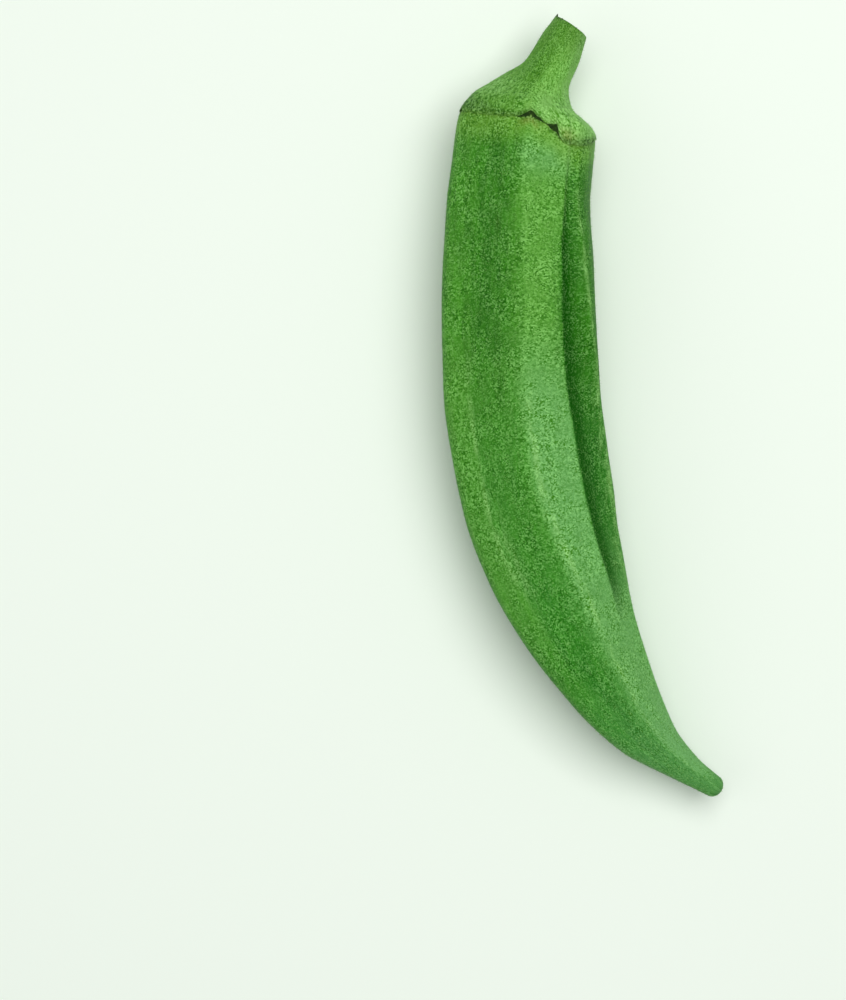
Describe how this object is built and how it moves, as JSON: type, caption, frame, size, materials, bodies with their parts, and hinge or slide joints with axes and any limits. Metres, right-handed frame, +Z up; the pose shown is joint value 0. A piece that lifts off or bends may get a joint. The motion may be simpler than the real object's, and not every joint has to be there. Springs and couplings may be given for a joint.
{
  "type": "okra pod",
  "caption": "Curved ribbed okra pod as picked, with its calyx cap and a cut stem, lying on its side and tapering to a blunt bent tip.",
  "frame": {"origin": "middle of the lying pod's bounding box in plan, on the surface it lies on", "axes": "+Y along the pod towards the cut stem, +X towards the side the tip bends to, +Z up"},
  "size_m": [0.0426, 0.1174, 0.0229],
  "materials": {
    "pod_skin": "satin, finely downy green skin",
    "stem_skin": "satin pale green skin, streaked along the stem"
  },
  "bodies": {
    "root": {"pod": "pod_skin", "stem_cap": "stem_skin"}
  },
  "joints": []
}
